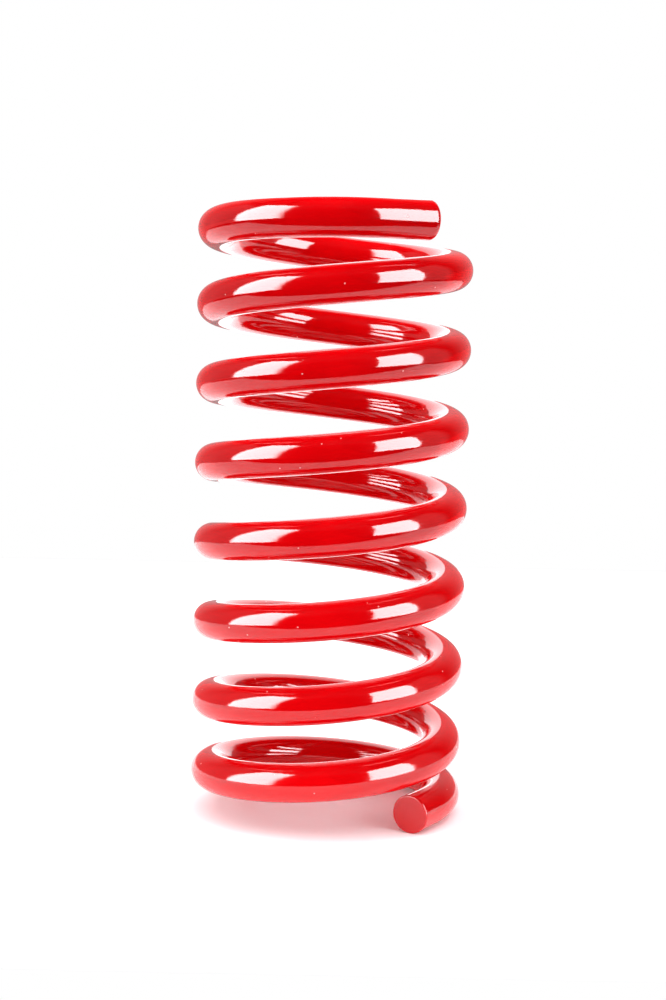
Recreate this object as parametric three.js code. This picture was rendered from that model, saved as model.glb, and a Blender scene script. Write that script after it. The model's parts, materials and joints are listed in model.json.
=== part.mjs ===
// A helical compression spring for a car's suspension: one round steel bar wound into eight turns.
//
// The bar is divided into half turns, each its own solid, so that the coils can close up on one another.
// Every division is an upright plane through the coil's axis, so neighbours slide past each other along Z.
//
// Frame: millimetres, +Z up along the coil's axis, origin at the foot of the coil.
// The front is -Y. Angles are in degrees, counter-clockwise seen from above and counted up the bar,
// so 270 is the front of the first coil and 630 is the front of the second.

import * as THREE from 'three';

const { clamp, degToRad, euclideanModulo, lerp, radToDeg } = THREE.MathUtils;

// Driving dimensions
const barDiameter = 16;
const meanDiameter = 100;
const bottomTangentAngle = - 31; // below here the bar runs straight to its lower cut, at the front right
const bottomStraightLength = 15;
const topTangentAngle = 2814; // above here the bar runs straight and level to its upper cut
const topStraightLength = 20.3;
const pitchAlongBar = [ // rise per full turn, changing evenly from each angle to the next
	{ angle: - 44, pitch: 0 }, // level from here down to the lower cut
	{ angle: 180, pitch: 28.2 },
	{ angle: 620, pitch: 34.1 },
	{ angle: 2620, pitch: 33.1 },
	{ angle: topTangentAngle, pitch: 0 },
];
const firstDivision = 180; // top of the lower end coil
const lastDivision = 2700; // foot of the upper end coil
const seamGap = 0.4; // clearance between neighbours, along the bar
const sectionSides = 12;
const stepAngle = 15;

const barRadius = barDiameter / 2;
const coilRadius = meanDiameter / 2;
const halfTurn = 180;
const bottomCutAngle = bottomTangentAngle - radToDeg( bottomStraightLength / coilRadius );
const topCutAngle = topTangentAngle + radToDeg( topStraightLength / coilRadius );
const gapAngle = radToDeg( seamGap / 2 / coilRadius );

const paint = { color: 0xe2040e, roughness: 0.16, metalness: 0 };

// Height of the bar's centre line: the pitch added up along the bar, from the foot.
function barHeight( angle ) {

	let height = barRadius;
	for ( let row = 1; row < pitchAlongBar.length; row ++ ) {

		const from = pitchAlongBar[ row - 1 ];
		const to = pitchAlongBar[ row ];
		const wound = clamp( angle, from.angle, to.angle ) - from.angle;
		const pitchReached = lerp( from.pitch, to.pitch, wound / ( to.angle - from.angle ) );
		height += wound * ( from.pitch + pitchReached ) / 2 / 360;

	}

	return height;

}

// How steeply the bar climbs: rise over run.
function barSlope( angle ) {

	return ( barHeight( angle + 0.5 ) - barHeight( angle - 0.5 ) ) / ( coilRadius * degToRad( 1 ) );

}

// The bar's centre line seen from above: round the coil, with a straight stretch along the tangent at each end.
// The straight stretches count as the angle that the same length would turn on the coil.
class PlanPath extends THREE.Curve {

	constructor( start, end ) {

		super();
		this.start = start;
		this.end = end;

	}

	getPoint( t, target = new THREE.Vector3() ) {

		const angle = lerp( this.start, this.end, t );
		const turned = clamp( angle, bottomTangentAngle, topTangentAngle );
		const onCoil = degToRad( turned );
		const straight = coilRadius * degToRad( angle - turned );
		const x = coilRadius * Math.cos( onCoil ) - straight * Math.sin( onCoil );
		const y = coilRadius * Math.sin( onCoil ) + straight * Math.cos( onCoil );
		return target.set( x, y, 0 );

	}

}

// The bar's round section, as a shape to extrude.
function barSection() {

	const corners = [];
	for ( let side = 0; side < sectionSides; side ++ ) {

		const turn = 2 * Math.PI * side / sectionSides;
		corners.push( new THREE.Vector2( barRadius * Math.cos( turn ), barRadius * Math.sin( turn ) ) );

	}

	return new THREE.Shape( corners );

}

// Angle up the bar of a point near `middle`, from its place seen from above.
function angleOf( x, y, middle ) {

	const plain = radToDeg( Math.atan2( y, x ) );
	const around = euclideanModulo( plain - middle + halfTurn, 360 ) - halfTurn;
	return clamp( middle + around, bottomCutAngle, topTangentAngle );

}

// One length of bar between two angles. It is swept flat, then every section is raised to its height
// and stretched a little upright, so that the section square to the bar stays round.
function barLength( start, end ) {

	const geometry = new THREE.ExtrudeGeometry( barSection(), {
		steps: Math.round( ( end - start ) / stepAngle ),
		bevelEnabled: false,
		extrudePath: new PlanPath( start, end ),
	} );
	const middle = ( start + end ) / 2;
	const position = geometry.attributes.position;
	for ( let i = 0; i < position.count; i ++ ) {

		const angle = angleOf( position.getX( i ), position.getY( i ), middle );
		const stretch = Math.hypot( 1, barSlope( angle ) );
		position.setZ( i, barHeight( angle ) + stretch * position.getZ( i ) );

	}

	geometry.computeVertexNormals();
	return geometry;

}

function addBar( spring, name, start, end ) {

	const mesh = new THREE.Mesh( barLength( start, end ), new THREE.MeshStandardMaterial( paint ) );
	mesh.name = name;
	spring.add( mesh );

}

const spring = new THREE.Group();
addBar( spring, 'bottom_end_coil', bottomCutAngle, firstDivision - gapAngle );
for ( let start = firstDivision; start < lastDivision; start += halfTurn ) {

	const coil = Math.floor( start / 360 ) + 1;
	const side = start % 360 === 0 ? 'back' : 'front';
	addBar( spring, `coil_${ coil }_${ side }`, start + gapAngle, start + halfTurn - gapAngle );

}
addBar( spring, 'top_end_coil', lastDivision + gapAngle, topCutAngle );

export default spring;
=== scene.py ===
import json
import math

import bmesh
import bpy
from bpy.props import FloatProperty, FloatVectorProperty, IntProperty, PointerProperty
from mathutils import Matrix, Vector, noise

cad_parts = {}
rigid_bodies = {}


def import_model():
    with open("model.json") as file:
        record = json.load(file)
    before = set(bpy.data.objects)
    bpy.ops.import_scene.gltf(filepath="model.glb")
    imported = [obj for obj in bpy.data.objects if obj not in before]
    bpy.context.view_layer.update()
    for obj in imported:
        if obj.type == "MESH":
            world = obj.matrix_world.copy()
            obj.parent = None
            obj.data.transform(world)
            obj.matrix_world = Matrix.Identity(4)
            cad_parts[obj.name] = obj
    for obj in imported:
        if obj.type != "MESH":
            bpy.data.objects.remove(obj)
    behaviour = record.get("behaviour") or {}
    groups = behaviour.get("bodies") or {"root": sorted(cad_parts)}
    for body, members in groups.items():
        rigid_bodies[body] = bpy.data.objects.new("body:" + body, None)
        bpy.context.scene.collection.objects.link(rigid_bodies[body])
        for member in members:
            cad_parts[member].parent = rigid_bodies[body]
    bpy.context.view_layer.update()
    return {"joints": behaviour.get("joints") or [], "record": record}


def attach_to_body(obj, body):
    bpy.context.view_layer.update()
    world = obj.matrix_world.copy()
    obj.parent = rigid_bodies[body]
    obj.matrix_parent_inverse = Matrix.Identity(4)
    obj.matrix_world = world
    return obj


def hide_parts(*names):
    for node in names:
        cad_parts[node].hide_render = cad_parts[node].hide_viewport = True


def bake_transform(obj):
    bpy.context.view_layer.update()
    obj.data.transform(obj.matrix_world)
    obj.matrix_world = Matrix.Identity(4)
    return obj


# The looks of a car's coil spring: one round steel bar wound into eight turns and powder coated red.
#
# Each length of bar stands for one solid of the frame and hides it; the lowest rides on its body, the rest
# stay where they are wound.
# Metres, +Z up along the coil's axis, and the front is -Y. Angles are counter-clockwise seen from above
# and are counted up the bar, so the front of the first turn is at 270 degrees and of the second at 630.

bl_info = {
    "name": "Coil Spring",
    "version": (1, 0, 0),
    "blender": (4, 5, 0),
    "location": "3D View > Sidebar > Spring",
    "description": "Winds the bar of a suspension coil spring and coats it",
    "category": "Object",
}

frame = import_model()

FULL_TURN = 2 * math.pi
HALF_TURN = math.pi
QUARTER_TURN = math.pi / 2
MM = 0.001

mounts = {mount["name"]: mount for mount in frame["record"]["mounts"]}
lower_cut = Vector(mounts["lower_bar_end"]["pos_m"])
lower_direction = Vector(mounts["lower_bar_end"]["axis"])
upper_cut = Vector(mounts["upper_bar_end"]["pos_m"])
upper_direction = Vector(mounts["upper_bar_end"]["axis"])
WHOLE_TURNS_BELOW_STRAIGHT = 7

# Angle up the bar in degrees and rise per full turn there in metres, changing evenly between rows.
# The bar is level below the first row and above the last, which is where it leaves the circle.
PITCH_ALONG_BAR = ((-44, 0.0), (180, 0.0282), (620, 0.0341), (2620, 0.0331), (2814, 0.0))

# The chain of bodies from the foot up, and the one solid that each holds.
chain = [frame["joints"][0]["parent"]] + [joint["child"] for joint in frame["joints"]]
solid_of = {body: nodes[0] for body, nodes in frame["record"]["behaviour"]["bodies"].items()}


def joining_angle():
    """Where the bar's straight foot joins the circle, worked out from the way that the foot points."""
    return math.atan2(lower_direction.x, -lower_direction.y)


def leaving_angle():
    """Where the bar leaves the circle, worked out from the way that its straight end points."""
    within_turn = math.atan2(-upper_direction.x, upper_direction.y) % FULL_TURN
    return within_turn + WHOLE_TURNS_BELOW_STRAIGHT * FULL_TURN


def linear(hex_colour):
    """The linear RGBA of an sRGB colour written as six hex digits."""
    shares = [int(hex_colour[i : i + 2], 16) / 255 for i in (0, 2, 4)]
    straight = [s / 12.92 if s <= 0.04045 else ((s + 0.055) / 1.055) ** 2.4 for s in shares]
    return (*straight, 1.0)


class SpringBar(bpy.types.PropertyGroup):
    """The bar and the way it is wound."""

    bar_radius: FloatProperty(
        name="Bar Radius",
        description="Half the thickness of the round bar",
        default=lower_cut.z,
        unit="LENGTH",
        precision=4,
    )
    coil_radius: FloatProperty(
        name="Coil Radius",
        description="From the coil's axis to the bar's centre line",
        default=upper_cut.xy.dot((upper_direction.y, -upper_direction.x)),
        unit="LENGTH",
        precision=4,
    )
    straight_length: FloatProperty(
        name="Upper Straight Length",
        description="The last stretch of bar, which runs straight to the upper cut",
        default=upper_cut.dot(upper_direction),
        unit="LENGTH",
        precision=4,
    )
    joins_circle: FloatProperty(
        name="Straight To",
        description="Where the bar's straight foot joins the circle",
        default=joining_angle(),
        subtype="ANGLE",
    )
    leaves_circle: FloatProperty(
        name="Straight From",
        description="Where the bar leaves the circle and runs straight",
        default=leaving_angle(),
        subtype="ANGLE",
    )
    section_sides: IntProperty(
        name="Section Sides",
        description="Corners of the bar's round section",
        default=96,
    )
    step: FloatProperty(
        name="Winding Step",
        description="Turn between two sections along the bar",
        default=math.radians(2),
        subtype="ANGLE",
    )
    lower_rim: FloatProperty(
        name="Lower Rim",
        description="How far the rim of the lower cut is rounded",
        default=0.65 * MM,
        unit="LENGTH",
        precision=5,
    )
    upper_rim: FloatProperty(
        name="Upper Rim",
        description="How far the rim of the upper cut is rounded",
        default=2.4 * MM,
        unit="LENGTH",
        precision=5,
    )
    cut_waviness: FloatProperty(
        name="Cut Waviness",
        description="How uneven the sheared faces of the bar are under the coating",
        default=0.16 * MM,
        unit="LENGTH",
        precision=5,
    )


class SpringPaint(bpy.types.PropertyGroup):
    """The coating's colours and finish."""

    red: FloatVectorProperty(
        name="Red",
        description="Colour of the powder coat where it is thick",
        subtype="COLOR",
        size=4,
        default=linear("CC0207"),
    )
    thin_red: FloatVectorProperty(
        name="Thin Red",
        description="Colour where the coat is a little thinner over the dark steel",
        subtype="COLOR",
        size=4,
        default=linear("BE0105"),
    )
    nib: FloatVectorProperty(
        name="Nib",
        description="Colour of dust specks caught in the coat",
        subtype="COLOR",
        size=4,
        default=linear("F2A9A4"),
    )
    gloss_roughness: FloatProperty(
        name="Gloss Roughness",
        description="Roughness of the flowed-out coat along the bar",
        default=0.075,
        subtype="FACTOR",
    )
    # The two cut reds are the duller coat over the sheared faces and also painted shade: they are darkened to
    # hold down the softbox fill that lights the lower cut face head-on.
    cut_face_red_painted_shade: FloatVectorProperty(
        name="Cut Red",
        description="Colour of the duller coat over the cut faces",
        subtype="COLOR",
        size=4,
        default=linear("780220"),
    )
    thin_cut_face_red_painted_shade: FloatVectorProperty(
        name="Thin Cut Red",
        description="Colour of the coat where it is thinner over the cut faces",
        subtype="COLOR",
        size=4,
        default=linear("A00220"),
    )
    cut_roughness: FloatProperty(
        name="Cut Roughness",
        description="Roughness of the coat over the coarse cut faces",
        default=0.42,
        subtype="FACTOR",
    )


class SpringStage(bpy.types.PropertyGroup):
    """The floor, the studio lights and the camera."""

    camera_distance: FloatProperty(
        name="Camera Distance",
        description="From the coil's axis to the camera, along the floor",
        default=0.744,
        unit="LENGTH",
    )
    camera_height: FloatProperty(
        name="Camera Height",
        description="From the floor to the camera",
        default=0.2032,
        unit="LENGTH",
    )
    camera_tilt: FloatProperty(
        name="Camera Tilt",
        description="How far the camera looks down",
        default=0.0929,
        subtype="ANGLE",
    )
    camera_roll: FloatProperty(
        name="Camera Roll",
        description="How far the camera is turned about its own view",
        default=0.0209,
        subtype="ANGLE",
    )
    camera_pan: FloatProperty(
        name="Camera Pan",
        description="How far the camera is turned to the side",
        default=-0.0013,
        subtype="ANGLE",
    )
    lens: FloatProperty(
        name="Lens",
        description="Focal length in millimetres on a 36 mm sensor",
        default=62.96,
    )
    table_half_width: FloatProperty(
        name="Table Half Width",
        description="From the coil's axis to the sides and the back of the white table",
        default=0.8,
        unit="LENGTH",
    )
    table_front: FloatProperty(
        name="Table Front",
        description="From the coil's axis to the table's front edge",
        default=0.20,
        unit="LENGTH",
    )
    panel_distance: FloatProperty(
        name="Panel Distance",
        description="From the coil's axis to the softboxes and reflectors",
        default=2.5,
        unit="LENGTH",
    )
    shine: FloatProperty(
        name="Softbox Shine",
        description="Brightness of the softboxes as the gloss shows them",
        default=19.5,
    )
    reflector_shine: FloatProperty(
        name="Reflector Shine",
        description="Brightness of the white boards at the sides as the gloss shows them",
        default=0.36,
    )
    reflector_fill: FloatProperty(
        name="Reflector Fill",
        description="Brightness of the white boards at the sides as they light the paint",
        default=2.6,
    )
    card_shine: FloatProperty(
        name="Back Card Shine",
        description="Brightness of the card behind the spring as the gloss shows it",
        default=2.1,
    )
    fill: FloatProperty(
        name="Softbox Fill",
        description="Brightness of the softboxes as they light the paint",
        default=6.9,
    )
    overhead: FloatProperty(
        name="Overhead Fill",
        description="Brightness of the light above the spring",
        default=2.3,
    )
    ambient: FloatProperty(
        name="Ambient",
        description="Brightness of the white room as it lights the paint",
        default=0.3,
    )


def height(bar, angle):
    """Height of the bar's centre line: the pitch added up along the bar, from the foot."""
    risen = bar.bar_radius
    for (low, low_pitch), (high, high_pitch) in zip(PITCH_ALONG_BAR, PITCH_ALONG_BAR[1:]):
        start, full = math.radians(low), math.radians(high)
        wound = min(max(angle, start), full) - start
        reached = low_pitch + (high_pitch - low_pitch) * wound / (full - start)
        risen += wound * (low_pitch + reached) / 2 / FULL_TURN
    return risen


def angle_up_bar(point, middle):
    """Angle up the bar of a point that is within half a turn of middle."""
    around = (math.atan2(point.y, point.x) - middle + HALF_TURN) % FULL_TURN - HALF_TURN
    return middle + around


def edges_of(made):
    return [item for item in made if isinstance(item, bmesh.types.BMEdge)]


def verts_of(faces):
    return list({v for face in faces if face.is_valid for v in face.verts})


def middle_of(verts):
    return sum((v.co for v in verts), Vector()) / len(verts)


def start_section(bm, bar, angle):
    """The bar's round section, standing in the upright plane through the coil's axis. Returns its edges."""
    stand_up = Matrix.Rotation(QUARTER_TURN, 4, "X")
    to_coil = Matrix.Rotation(angle, 4, "Z") @ Matrix.Translation((bar.coil_radius, 0, 0))
    place = Matrix.Translation((0, 0, height(bar, angle))) @ to_coil @ stand_up
    bmesh.ops.create_circle(bm, segments=bar.section_sides, radius=bar.bar_radius, matrix=place)
    return list(bm.edges)


def wind(bm, bar, section, start, end):
    """Spins the section up the coil, step by step, and returns the last section's edges."""
    steps = round((end - start) / bar.step)
    turn = (end - start) / steps
    for index in range(steps):
        low = start + index * turn
        rise = height(bar, low + turn) - height(bar, low)
        made = bmesh.ops.spin(
            bm,
            geom=section,
            cent=(0, 0, 0),
            axis=(0, 0, 1),
            dvec=(0, 0, rise),
            angle=turn,
            steps=1,
            use_merge=False,
            use_normal_flip=False,
            use_duplicate=False,
        )
        section = edges_of(made["geom_last"])
    return section


# Each step is longer than the rim's rounding, which otherwise folds over the section before it.
LOWER_STRAIGHT_STEPS = 12
UPPER_STRAIGHT_STEPS = 6


def run_straight(bm, section, run, steps):
    """Extrudes the section straight on along the whole of run and returns the last section's edges."""
    for _ in range(steps):
        made = bmesh.ops.extrude_edge_only(bm, edges=section)["geom"]
        section = [e for e in edges_of(made) if all(v in made for v in e.verts)]
        moved = [item for item in made if isinstance(item, bmesh.types.BMVert)]
        bmesh.ops.translate(bm, verts=moved, vec=run / steps)
    return section


def close_division(bm, section):
    """Closes a length of bar where the next one carries on."""
    lid = bmesh.ops.edgeloop_fill(bm, edges=section)["faces"][0]
    lid.smooth = False
    for edge in lid.edges:
        edge.smooth = False


# The cut faces: rings of faces under the relief, and its two grain sizes.
RIM_SEGMENTS = 8
CUT_RINGS = 14
COARSE_GRAIN = 4.5 * MM
FINE_GRAIN = 1.3 * MM
FINE_SHARE = 0.3
HOLLOW_SHARE = 0.35  # how far the face is sunk, as a share of the waviness
RIM_SETTLES_WITHIN = 0.2  # the relief fades in over this share of the radius from the rim


def close_cut(bm, bar, section, outward, rim):
    """Closes a cut end: a rounded rim, and a face that is slightly hollow and uneven, as shears leave it."""
    lid = bmesh.ops.edgeloop_fill(bm, edges=section)["faces"][0]
    bmesh.ops.bevel(
        bm,
        geom=list(lid.edges),
        offset=rim,
        offset_type="OFFSET",
        segments=RIM_SEGMENTS,
        profile=0.5,
        affect="EDGES",
        material=-1,
    )
    lid = max(bm.faces, key=lambda face: len(face.verts))
    faces = [lid]
    face_radius = bar.bar_radius - rim
    for _ in range(CUT_RINGS):
        made = bmesh.ops.inset_individual(bm, faces=[lid], thickness=face_radius / (CUT_RINGS + 1))
        faces += made["faces"]
    faces += bmesh.ops.poke(bm, faces=[lid])["faces"]
    verts = verts_of(faces)
    centre = middle_of(verts)
    for vert in verts:
        from_rim = 1 - min((vert.co - centre).length / face_radius, 1.0)
        settled = min(from_rim / RIM_SETTLES_WITHIN, 1.0)
        coarse = noise.noise(vert.co / COARSE_GRAIN)
        fine = noise.noise(vert.co / FINE_GRAIN) * FINE_SHARE
        vert.co += outward * bar.cut_waviness * settled * (coarse + fine - HOLLOW_SHARE)
    for face in faces:
        if face.is_valid:
            face.material_index = 1


def true_normals(mesh, bar, middle):
    """Gives the two divisions of a length of bar the normals of the whole bar, so that they don't show."""
    nudge = bar.step / 4
    on_axis_plane = MM / 1000
    normals = [Vector()] * len(mesh.loops)  # a zero normal leaves the corner as it is
    for polygon in mesh.polygons:
        if not polygon.use_smooth or polygon.material_index:
            continue
        for index in polygon.loop_indices:
            point = mesh.vertices[mesh.loops[index].vertex_index].co
            if abs(point.y) > on_axis_plane:
                continue
            angle = angle_up_bar(point, middle)
            forward = Vector((-math.sin(angle), math.cos(angle), 0.0))
            outward = Vector((math.cos(angle), math.sin(angle), 0.0))
            from_axis = point.xy.length
            above = point.z - height(bar, angle)
            slope = (height(bar, angle + nudge) - height(bar, angle - nudge)) / (2 * nudge)
            across = from_axis - bar.coil_radius
            normal = from_axis * (across * outward + Vector((0, 0, above))) - slope * above * forward
            normals[index] = normal.normalized()
    mesh.normals_split_custom_set(normals)


def finish_bar(bm, name, bar, start, end):
    """Turns a wound length of bar into a coated piece."""
    bmesh.ops.recalc_face_normals(bm, faces=bm.faces)
    mesh = bpy.data.meshes.new(name)
    bm.to_mesh(mesh)
    bm.free()
    mesh.materials.append(powder_coat())
    mesh.materials.append(coated_cut())
    true_normals(mesh, bar, (start + end) / 2)
    piece = bpy.data.objects.new(name, mesh)
    bpy.context.scene.collection.objects.link(piece)
    return piece


def attach(piece, place):
    """Puts the lowest length of bar on its body, or leaves another where it is wound, and hides the solid it
    stands for.
    """
    body = chain[place]
    if place == 0:
        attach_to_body(piece, body)
    else:
        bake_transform(piece)
    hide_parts(solid_of[body])


def piece_name(place):
    return "coated_" + solid_of[chain[place]]


def add_node(material, kind, links=None, **settings):
    """Adds one node, sets its attributes and sockets by name, and links the sockets that links names."""
    tree = material.node_tree
    node = tree.nodes.new(kind)
    for key, value in settings.items():
        if hasattr(node, key):
            setattr(node, key, value)
        else:
            node.inputs[key.replace("_", " ")].default_value = value
    for socket, source in (links or {}).items():
        tree.links.new(source, node.inputs[socket])
    return node


def new_material(name):
    material = bpy.data.materials.new(name)
    material.use_nodes = True
    material.node_tree.nodes.clear()
    return material


# The film over the blasted bar: how far apart its faint changes lie.
THICKNESS_DRIFT = 35 * MM
DUST_CELL = 4 * MM  # one speck at most in a cell of this size
DUST_FREE_SHARE = 0.86  # of the cells
ORANGE_PEEL = 3.2 * MM
GLOSS_CLOUD = 12 * MM
COAT_IOR = 1.52  # polyester


def powder_coat():
    """Polyester powder coat, sprayed on blasted steel and baked until it flows.

    It is a hard, fully opaque film with a high gloss, faintly uneven like the skin of an orange,
    slightly deeper in colour where it is thin, and it holds a few specks of dust.
    """
    name = "polyester_powder_coat_red"
    if name in bpy.data.materials:
        return bpy.data.materials[name]
    paint = bpy.context.scene.spring_paint
    material = new_material(name)
    place = add_node(material, "ShaderNodeTexCoord").outputs["Object"]

    # The coat's thickness drifts over a few centimetres of bar.
    drift = add_node(material, "ShaderNodeTexNoise", {"Vector": place}, Scale=1 / THICKNESS_DRIFT, Detail=3.0)
    thin = add_node(material, "ShaderNodeValToRGB", {"Fac": drift.outputs["Fac"]})
    thin.color_ramp.elements[0].position = 0.42
    thin.color_ramp.elements[1].position = 0.75
    body = add_node(
        material,
        "ShaderNodeMix",
        data_type="RGBA",
        links={"Factor": thin.outputs["Color"]},
    )
    body.inputs["A"].default_value = paint.red
    body.inputs["B"].default_value = paint.thin_red

    # Dust specks: one cell in a few holds a raised dot about half a millimetre across.
    cells = add_node(material, "ShaderNodeTexVoronoi", {"Vector": place}, Scale=1 / DUST_CELL)
    chance = add_node(material, "ShaderNodeSeparateColor", {"Color": cells.outputs["Color"]})
    rare = add_node(material, "ShaderNodeMath", {0: chance.outputs["Red"]}, operation="GREATER_THAN")
    rare.inputs[1].default_value = DUST_FREE_SHARE
    dot = add_node(
        material,
        "ShaderNodeMapRange",
        {"Value": cells.outputs["Distance"]},
        interpolation_type="SMOOTHSTEP",
        From_Min=0.10,
        From_Max=0.05,
    )
    speck = add_node(
        material,
        "ShaderNodeMath",
        {0: rare.outputs["Value"], 1: dot.outputs["Result"]},
        operation="MULTIPLY",
    )
    speckled = add_node(
        material,
        "ShaderNodeMix",
        data_type="RGBA",
        links={"Factor": speck.outputs["Value"], "A": body.outputs["Result"]},
    )
    speckled.inputs["B"].default_value = paint.nib
    return finish_coat(material, place, speckled.outputs["Result"], speck.outputs["Value"], paint)


def finish_coat(material, place, colour, speck, paint):
    """Gloss and relief of the flowed-out film."""
    # Orange peel is 2 to 4 mm from crest to crest and only microns deep.
    peel = add_node(material, "ShaderNodeTexNoise", {"Vector": place}, Scale=1 / ORANGE_PEEL, Detail=1.0)
    peeled = add_node(
        material,
        "ShaderNodeBump",
        {"Height": peel.outputs["Fac"]},
        Strength=0.10,
        Distance=0.3 * MM,
    )
    raised = add_node(
        material,
        "ShaderNodeBump",
        {"Height": speck, "Normal": peeled.outputs["Normal"]},
        Strength=0.5,
        Distance=0.12 * MM,
    )
    cloud = add_node(material, "ShaderNodeTexNoise", {"Vector": place}, Scale=1 / GLOSS_CLOUD, Detail=4.0)
    gloss = add_node(
        material,
        "ShaderNodeMapRange",
        {"Value": cloud.outputs["Fac"]},
        From_Min=0.3,
        From_Max=0.7,
        To_Min=paint.gloss_roughness * 0.8,
        To_Max=paint.gloss_roughness * 1.3,
    )
    surface = add_node(
        material,
        "ShaderNodeBsdfPrincipled",
        {"Base Color": colour, "Roughness": gloss.outputs["Result"], "Normal": raised.outputs["Normal"]},
        IOR=COAT_IOR,
    )
    add_node(material, "ShaderNodeOutputMaterial", {"Surface": surface.outputs["BSDF"]})
    return material


def coated_cut():
    """The same powder coat over a sheared bar end.

    The coarse cut shows through the film as fine grooves, so the face is dull and looks paler than the bar.
    Its two reds are also darkened as painted shade, against the softbox fill that lights the face head-on.
    """
    name = "powder_coat_on_sheared_steel_with_painted_shade"
    if name in bpy.data.materials:
        return bpy.data.materials[name]
    paint = bpy.context.scene.spring_paint
    material = new_material(name)
    place = add_node(material, "ShaderNodeTexCoord").outputs["Object"]
    cloud = add_node(material, "ShaderNodeTexNoise", {"Vector": place}, Scale=1 / (5 * MM), Detail=5.0)
    # The cut reds carry painted shade; the noise mixes them at random over the face.
    body = add_node(
        material,
        "ShaderNodeMix",
        data_type="RGBA",
        links={"Factor": cloud.outputs["Fac"]},
    )
    body.inputs["A"].default_value = paint.cut_face_red_painted_shade
    body.inputs["B"].default_value = paint.thin_cut_face_red_painted_shade

    # Shear grooves run upright, half a millimetre apart, broken up by the grain of the blasted steel.
    grooves = add_node(material, "ShaderNodeTexNoise", Detail=4.0, Scale=1 / (0.9 * MM))
    stretch = add_node(material, "ShaderNodeMapping", {"Vector": place}, Scale=(1.0, 1.0, 0.25))
    material.node_tree.links.new(stretch.outputs["Vector"], grooves.inputs["Vector"])
    relief = add_node(
        material,
        "ShaderNodeBump",
        {"Height": grooves.outputs["Fac"]},
        Strength=0.35,
        Distance=0.15 * MM,
    )
    surface = add_node(
        material,
        "ShaderNodeBsdfPrincipled",
        {"Base Color": body.outputs["Result"], "Normal": relief.outputs["Normal"]},
        Roughness=paint.cut_roughness,
        IOR=COAT_IOR,
    )
    add_node(material, "ShaderNodeOutputMaterial", {"Surface": surface.outputs["BSDF"]})
    return material


class SPRING_OT_lower_end(bpy.types.Operator):
    """Winds the closed lower end coil, from its cut face up"""

    bl_idname = "spring.lower_end"
    bl_label = "Lower End Coil"

    def execute(self, context):
        bar = context.scene.spring_bar
        bm = bmesh.new()
        bend = start_section(bm, bar, bar.joins_circle)
        bend_centre = middle_of(list(bm.verts))
        top = wind(bm, bar, bend, bar.joins_circle, HALF_TURN)
        tip = run_straight(bm, bend, lower_cut - bend_centre, LOWER_STRAIGHT_STEPS)
        close_division(bm, top)
        close_cut(bm, bar, tip, lower_direction, bar.lower_rim)
        for face in bm.faces:
            face.smooth = len(face.verts) < bar.section_sides
        piece = finish_bar(bm, piece_name(0), bar, bar.joins_circle, HALF_TURN)
        attach(piece, 0)
        return {"FINISHED"}


class SPRING_OT_half_coils(bpy.types.Operator):
    """Winds the half coils between the two ends"""

    bl_idname = "spring.half_coils"
    bl_label = "Half Coils"

    def execute(self, context):
        bar = context.scene.spring_bar
        for place in range(1, len(chain) - 1):
            start = place * HALF_TURN
            bm = bmesh.new()
            foot = start_section(bm, bar, start)
            top = wind(bm, bar, foot, start, start + HALF_TURN)
            for face in bm.faces:
                face.smooth = True
            close_division(bm, foot)
            close_division(bm, top)
            piece = finish_bar(bm, piece_name(place), bar, start, start + HALF_TURN)
            attach(piece, place)
        return {"FINISHED"}


class SPRING_OT_upper_end(bpy.types.Operator):
    """Winds the level upper end coil, with its straight last stretch and cut face"""

    bl_idname = "spring.upper_end"
    bl_label = "Upper End Coil"

    def execute(self, context):
        bar = context.scene.spring_bar
        place = len(chain) - 1
        start = place * HALF_TURN
        bm = bmesh.new()
        foot = start_section(bm, bar, start)
        bend = wind(bm, bar, foot, start, bar.leaves_circle)
        tip = run_straight(bm, bend, upper_direction * bar.straight_length, UPPER_STRAIGHT_STEPS)
        close_division(bm, foot)
        close_cut(bm, bar, tip, upper_direction, bar.upper_rim)
        for face in bm.faces:
            face.smooth = len(face.verts) < bar.section_sides
        piece = finish_bar(bm, piece_name(place), bar, start, start + HALF_TURN)
        attach(piece, place)
        return {"FINISHED"}


# The upright panels round the table: azimuth of the middle (0 is the camera's side, + is the right), width,
# bottom and top, the shares of the width that fade out towards the camera and towards the back, and kind.
PANELS = (
    ("softbox_left", -67, 2.34, -0.10, 3.90, 0.20, 0.10, "softbox"),
    ("softbox_right", 56.5, 1.97, -0.22, 2.75, 0.05, 0.05, "softbox"),
    ("reflector_left", -117, 2.30, -0.25, 3.00, 0.01, 0.60, "reflector"),
    ("reflector_right", 98, 1.85, -0.25, 2.80, 0.01, 0.40, "reflector"),
)
SOFTBOX_TINT = (1.0, 0.95, 0.98)
CARD_WIDTH = 0.11
CARD_TALL = 0.42
CARD_PLACE = (0, 0.16, 0.21)
OVERHEAD_SIDE = 2.6
OVERHEAD_HEIGHT = 1.5
BEHIND = (0.35, 1.0)  # how far to the back, 1 being straight back, the room starts and ends brightening
ROOM_SHINE = 0.35  # brightness of the room's back wall as the gloss shows it


def add_light(name, radiance, width, tall, shines):
    """A rectangular light, seen either by the gloss alone or by the paint under it alone."""
    light = bpy.data.lights.new(name, "AREA")
    light.shape = "RECTANGLE"
    light.size = width
    light.size_y = tall
    light.energy = radiance * math.pi * width * tall
    light.color = SOFTBOX_TINT
    lamp = bpy.data.objects.new(name, light)
    bpy.context.scene.collection.objects.link(lamp)
    lamp.visible_camera = False
    lamp.visible_glossy = shines
    lamp.visible_diffuse = not shines
    return lamp


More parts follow.
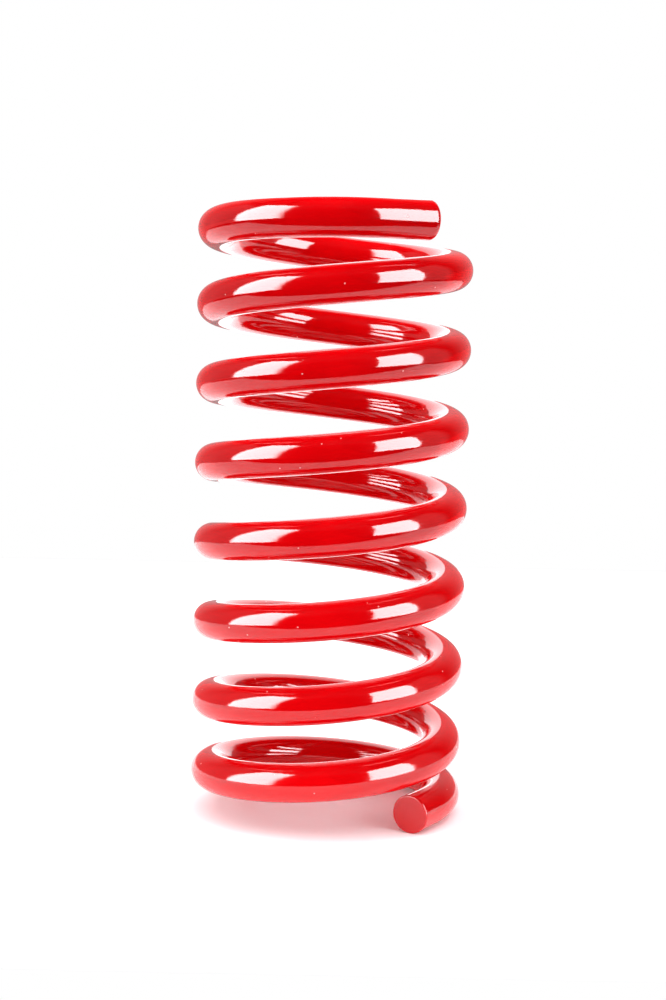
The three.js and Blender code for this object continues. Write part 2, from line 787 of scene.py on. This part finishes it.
def fade_sides(light, towards_camera, towards_back, camera_side_is_high):
    """Fades a panel out over a share of its width at each side, as a cloth lit from one spot is."""
    light.use_nodes = True
    light.node_tree.nodes.clear()
    across = add_node(light, "ShaderNodeNewGeometry").outputs["Parametric"]
    parts = add_node(light, "ShaderNodeSeparateXYZ", {"Vector": across})
    at_low, at_high = towards_back, towards_camera
    if not camera_side_is_high:
        at_low, at_high = at_high, at_low
    rise = add_node(
        light,
        "ShaderNodeMapRange",
        {"Value": parts.outputs["X"]},
        interpolation_type="SMOOTHSTEP",
        From_Min=0.0,
        From_Max=at_low,
    )
    fall = add_node(
        light,
        "ShaderNodeMapRange",
        {"Value": parts.outputs["X"]},
        interpolation_type="SMOOTHSTEP",
        From_Min=1.0,
        From_Max=1.0 - at_high,
    )
    both = add_node(
        light,
        "ShaderNodeMath",
        {0: rise.outputs["Result"], 1: fall.outputs["Result"]},
        operation="MULTIPLY",
    )
    glow = add_node(light, "ShaderNodeEmission", {"Strength": both.outputs["Value"]})
    add_node(light, "ShaderNodeOutputLight", {"Surface": glow.outputs["Emission"]})


def add_panel(stage, name, azimuth, width, bottom, top, towards_camera, towards_back, kind):
    """An upright panel that faces the spring from beyond the table's edge."""
    turn = math.radians(azimuth)
    away = Vector((math.sin(turn), -math.cos(turn), 0))
    radiances = {
        "softbox": (stage.shine, stage.fill),
        "reflector": (stage.reflector_shine, stage.reflector_fill),
    }
    for shines, radiance in zip((True, False), radiances[kind]):
        lamp = add_light(f"{name}_{'shine' if shines else 'fill'}", radiance, width, top - bottom, shines)
        lamp.location = away * stage.panel_distance + Vector((0, 0, (top + bottom) / 2))
        lamp.rotation_euler = away.to_track_quat("Z", "Y").to_euler()
        if shines:
            fade_sides(lamp.data, towards_camera, towards_back, azimuth < 0)


def add_back_card(stage):
    """A narrow lit card close behind the spring, which whitens the inner sides of the coils."""
    card = add_light("back_card", stage.card_shine, CARD_WIDTH, CARD_TALL, True)
    card.location = CARD_PLACE
    card.rotation_euler = (-QUARTER_TURN, 0, 0)


def build_surround(ambient):
    """A studio that is white to the camera, dim to the paint, and dark to the gloss but for its back wall."""
    world = bpy.data.worlds.new("white_studio")
    world.use_nodes = True
    world.node_tree.nodes.clear()
    direction = add_node(world, "ShaderNodeTexCoord").outputs["Generated"]
    parts = add_node(world, "ShaderNodeSeparateXYZ", {"Vector": direction})
    room = add_node(
        world,
        "ShaderNodeMapRange",
        {"Value": parts.outputs["Y"]},
        interpolation_type="SMOOTHSTEP",
        From_Min=BEHIND[0],
        From_Max=BEHIND[1],
        To_Min=0.0,
        To_Max=ROOM_SHINE,
    )
    path = add_node(world, "ShaderNodeLightPath")
    for_paint = add_node(
        world,
        "ShaderNodeMix",
        data_type="FLOAT",
        links={"Factor": path.outputs["Is Diffuse Ray"], "A": room.outputs["Result"]},
    )
    for_paint.inputs["B"].default_value = ambient
    seen = add_node(
        world,
        "ShaderNodeMath",
        {0: for_paint.outputs["Result"], 1: path.outputs["Is Camera Ray"]},
        operation="MAXIMUM",
    )
    surround = add_node(world, "ShaderNodeBackground", {"Strength": seen.outputs["Value"]})
    surround.inputs["Color"].default_value = (1, 1, 1, 1)
    add_node(world, "ShaderNodeOutputWorld", {"Surface": surround.outputs["Background"]})
    bpy.context.scene.world = world


def build_table(stage):
    """A white table top under the spring."""
    half = stage.table_half_width
    middle = (half - stage.table_front) / 2
    place = Matrix.Translation((0, middle, 0)) @ Matrix.Diagonal((half, half - middle, 1, 1))
    bm = bmesh.new()
    bmesh.ops.create_grid(bm, x_segments=1, y_segments=1, size=1, matrix=place)
    mesh = bpy.data.meshes.new("table_top")
    bm.to_mesh(mesh)
    bm.free()
    board = new_material("matt_white_board")
    surface = add_node(board, "ShaderNodeBsdfPrincipled", Roughness=0.9)
    surface.inputs["Base Color"].default_value = linear("F4F4F4")
    add_node(board, "ShaderNodeOutputMaterial", {"Surface": surface.outputs["BSDF"]})
    mesh.materials.append(board)
    table = bpy.data.objects.new("table_top", mesh)
    bpy.context.scene.collection.objects.link(table)


def build_camera(stage):
    """The camera stands in front of the spring, a little above its middle."""
    lens = bpy.data.cameras.new("camera")
    lens.sensor_width = 36
    lens.lens = stage.lens
    camera = bpy.data.objects.new("camera", lens)
    bpy.context.scene.collection.objects.link(camera)
    stand = Matrix.Translation((0, -stage.camera_distance, stage.camera_height))
    pan = Matrix.Rotation(stage.camera_pan, 4, "Z")
    tilt = Matrix.Rotation(QUARTER_TURN - stage.camera_tilt, 4, "X")
    roll = Matrix.Rotation(stage.camera_roll, 4, "Z")
    camera.matrix_world = stand @ pan @ tilt @ roll
    bpy.context.scene.camera = camera


class SPRING_OT_stage(bpy.types.Operator):
    """Sets up the white table, the softboxes, the surround and the camera"""

    bl_idname = "spring.stage"
    bl_label = "Studio"

    def execute(self, context):
        stage = context.scene.spring_stage
        build_table(stage)
        build_surround(stage.ambient)
        build_camera(stage)
        for panel in PANELS:
            add_panel(stage, *panel)
        add_back_card(stage)
        overhead = add_light("overhead", stage.overhead, OVERHEAD_SIDE, OVERHEAD_SIDE, False)
        overhead.location = (0, 0, OVERHEAD_HEIGHT)
        context.scene.view_settings.view_transform = "Standard"
        return {"FINISHED"}


class SPRING_PT_panel(bpy.types.Panel):
    """The steps that build the spring, and its sizes and colours"""

    bl_idname = "SPRING_PT_panel"
    bl_label = "Coil Spring"
    bl_space_type = "VIEW_3D"
    bl_region_type = "UI"
    bl_category = "Spring"

    def draw(self, context):
        for operator in STEPS:
            self.layout.operator(operator.bl_idname)
        for group in ("spring_bar", "spring_paint", "spring_stage"):
            settings = getattr(context.scene, group)
            box = self.layout.box()
            for name in settings.bl_rna.properties.keys():
                if name not in ("name", "rna_type"):
                    box.prop(settings, name)


STEPS = (SPRING_OT_lower_end, SPRING_OT_half_coils, SPRING_OT_upper_end, SPRING_OT_stage)
CLASSES = (SpringBar, SpringPaint, SpringStage, *STEPS, SPRING_PT_panel)


def register():
    for each in CLASSES:
        bpy.utils.register_class(each)
    bpy.types.Scene.spring_bar = PointerProperty(type=SpringBar)
    bpy.types.Scene.spring_paint = PointerProperty(type=SpringPaint)
    bpy.types.Scene.spring_stage = PointerProperty(type=SpringStage)


def unregister():
    del bpy.types.Scene.spring_bar
    del bpy.types.Scene.spring_paint
    del bpy.types.Scene.spring_stage
    for each in reversed(CLASSES):
        bpy.utils.unregister_class(each)


def main():
    register()
    bpy.ops.spring.lower_end()
    bpy.ops.spring.half_coils()
    bpy.ops.spring.upper_end()
    bpy.ops.spring.stage()


if __name__ == "__main__":
    main()
